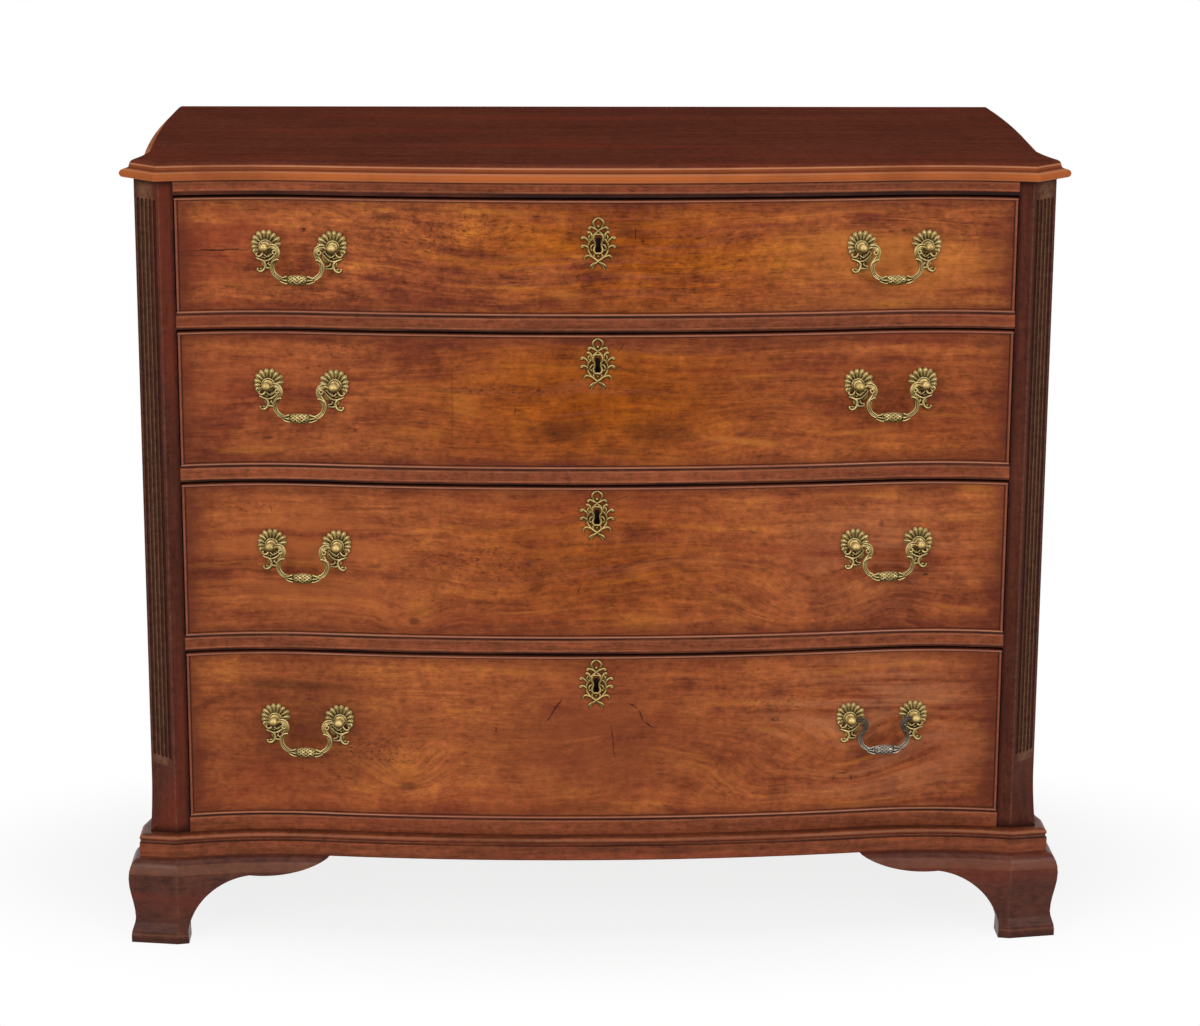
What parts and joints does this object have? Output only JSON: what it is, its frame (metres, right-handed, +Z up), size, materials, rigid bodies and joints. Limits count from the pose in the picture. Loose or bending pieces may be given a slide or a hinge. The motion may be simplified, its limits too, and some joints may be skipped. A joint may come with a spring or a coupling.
{
  "type": "serpentine chest of drawers",
  "caption": "Serpentine chest of graduated drawers with moulded top, canted fluted corners, ogee bracket feet, swan-neck brass handles and pierced escutcheons.",
  "frame": {"origin": "middle of the bounding box, on the floor", "axes": "+X to the chest's right as seen from the front, +Y to the back, +Z up"},
  "size_m": [1.089, 0.566, 0.914],
  "materials": {
    "mahogany": "old wax polish",
    "oak": "bare",
    "pine": "bare, darkened",
    "brass": "old lacquered",
    "iron": "dull"
  },
  "bodies": {
    "carcase": {"top_board": "mahogany", "left_side_panel": "mahogany", "right_side_panel": "mahogany", "left_corner_post": "mahogany", "right_corner_post": "mahogany", "top_rail": "mahogany", "upper_rail": "mahogany", "middle_rail": "mahogany", "lower_rail": "mahogany", "bottom_rail": "mahogany", "carcase_bottom": "pine", "dustboards": "pine", "runners_and_guides": "oak", "back_boards": "pine", "base_moulding": "mahogany", "front_left_foot": "mahogany", "front_right_foot": "mahogany", "back_left_foot": "mahogany", "back_right_foot": "mahogany", "glue_blocks": "pine"},
    "drawer_1": {"drawer_1_front": "mahogany", "drawer_1_box": "oak", "drawer_1_bottom": "oak", "drawer_1_cockbead": "mahogany", "drawer_1_lock": "iron", "drawer_1_escutcheon": "brass", "drawer_1_handle_mounts": "brass"},
    "drawer_1_lock_bolt": {"drawer_1_lock_bolt": "iron"},
    "drawer_1_left_bail": {"drawer_1_left_bail": "brass"},
    "drawer_1_right_bail": {"drawer_1_right_bail": "brass"},
    "drawer_2": {"drawer_2_front": "mahogany", "drawer_2_box": "oak", "drawer_2_bottom": "oak", "drawer_2_cockbead": "mahogany", "drawer_2_lock": "iron", "drawer_2_escutcheon": "brass", "drawer_2_handle_mounts": "brass"},
    "drawer_2_lock_bolt": {"drawer_2_lock_bolt": "iron"},
    "drawer_2_left_bail": {"drawer_2_left_bail": "brass"},
    "drawer_2_right_bail": {"drawer_2_right_bail": "brass"},
    "drawer_3": {"drawer_3_front": "mahogany", "drawer_3_box": "oak", "drawer_3_bottom": "oak", "drawer_3_cockbead": "mahogany", "drawer_3_lock": "iron", "drawer_3_escutcheon": "brass", "drawer_3_handle_mounts": "brass"},
    "drawer_3_lock_bolt": {"drawer_3_lock_bolt": "iron"},
    "drawer_3_left_bail": {"drawer_3_left_bail": "brass"},
    "drawer_3_right_bail": {"drawer_3_right_bail": "brass"},
    "drawer_4": {"drawer_4_front": "mahogany", "drawer_4_box": "oak", "drawer_4_bottom": "oak", "drawer_4_cockbead": "mahogany", "drawer_4_lock": "iron", "drawer_4_escutcheon": "brass", "drawer_4_handle_mounts": "brass"},
    "drawer_4_lock_bolt": {"drawer_4_lock_bolt": "iron"},
    "drawer_4_left_bail": {"drawer_4_left_bail": "brass"},
    "drawer_4_right_bail": {"drawer_4_right_bail": "brass"}
  },
  "joints": [
    {"name": "drawer_1_slide", "type": "slide", "parent": "carcase", "child": "drawer_1", "axis": [0, -1, 0], "range_m": [0, 0.4]},
    {"name": "drawer_1_bolt_throw", "type": "slide", "parent": "drawer_1", "child": "drawer_1_lock_bolt", "axis": [0, 0, 1], "range_m": [0, 0.008]},
    {"name": "drawer_1_left_bail_swing", "type": "hinge", "parent": "drawer_1", "child": "drawer_1_left_bail", "pos_m": [-0.33551, -0.26096, 0.819], "axis": [-0.9949, 0.1008, 0], "range_deg": [-8, 100]},
    {"name": "drawer_1_right_bail_swing", "type": "hinge", "parent": "drawer_1", "child": "drawer_1_right_bail", "pos_m": [0.33551, -0.26096, 0.819], "axis": [-0.9949, -0.1008, 0], "range_deg": [-8, 100]},
    {"name": "drawer_2_slide", "type": "slide", "parent": "carcase", "child": "drawer_2", "axis": [0, -1, 0], "range_m": [0, 0.4]},
    {"name": "drawer_2_bolt_throw", "type": "slide", "parent": "drawer_2", "child": "drawer_2_lock_bolt", "axis": [0, 0, 1], "range_m": [0, 0.008]},
    {"name": "drawer_2_left_bail_swing", "type": "hinge", "parent": "drawer_2", "child": "drawer_2_left_bail", "pos_m": [-0.33551, -0.26096, 0.661], "axis": [-0.9949, 0.1008, 0], "range_deg": [-8, 100]},
    {"name": "drawer_2_right_bail_swing", "type": "hinge", "parent": "drawer_2", "child": "drawer_2_right_bail", "pos_m": [0.33551, -0.26096, 0.661], "axis": [-0.9949, -0.1008, 0], "range_deg": [-8, 100]},
    {"name": "drawer_3_slide", "type": "slide", "parent": "carcase", "child": "drawer_3", "axis": [0, -1, 0], "range_m": [0, 0.4]},
    {"name": "drawer_3_bolt_throw", "type": "slide", "parent": "drawer_3", "child": "drawer_3_lock_bolt", "axis": [0, 0, 1], "range_m": [0, 0.008]},
    {"name": "drawer_3_left_bail_swing", "type": "hinge", "parent": "drawer_3", "child": "drawer_3_left_bail", "pos_m": [-0.33551, -0.26096, 0.474], "axis": [-0.9949, 0.1008, 0], "range_deg": [-8, 100]},
    {"name": "drawer_3_right_bail_swing", "type": "hinge", "parent": "drawer_3", "child": "drawer_3_right_bail", "pos_m": [0.33551, -0.26096, 0.474], "axis": [-0.9949, -0.1008, 0], "range_deg": [-8, 100]},
    {"name": "drawer_4_slide", "type": "slide", "parent": "carcase", "child": "drawer_4", "axis": [0, -1, 0], "range_m": [0, 0.4]},
    {"name": "drawer_4_bolt_throw", "type": "slide", "parent": "drawer_4", "child": "drawer_4_lock_bolt", "axis": [0, 0, 1], "range_m": [0, 0.008]},
    {"name": "drawer_4_left_bail_swing", "type": "hinge", "parent": "drawer_4", "child": "drawer_4_left_bail", "pos_m": [-0.33551, -0.26096, 0.265], "axis": [-0.9949, 0.1008, 0], "range_deg": [-8, 100]},
    {"name": "drawer_4_right_bail_swing", "type": "hinge", "parent": "drawer_4", "child": "drawer_4_right_bail", "pos_m": [0.33551, -0.26096, 0.265], "axis": [-0.9949, -0.1008, 0], "range_deg": [-8, 100]}
  ]
}
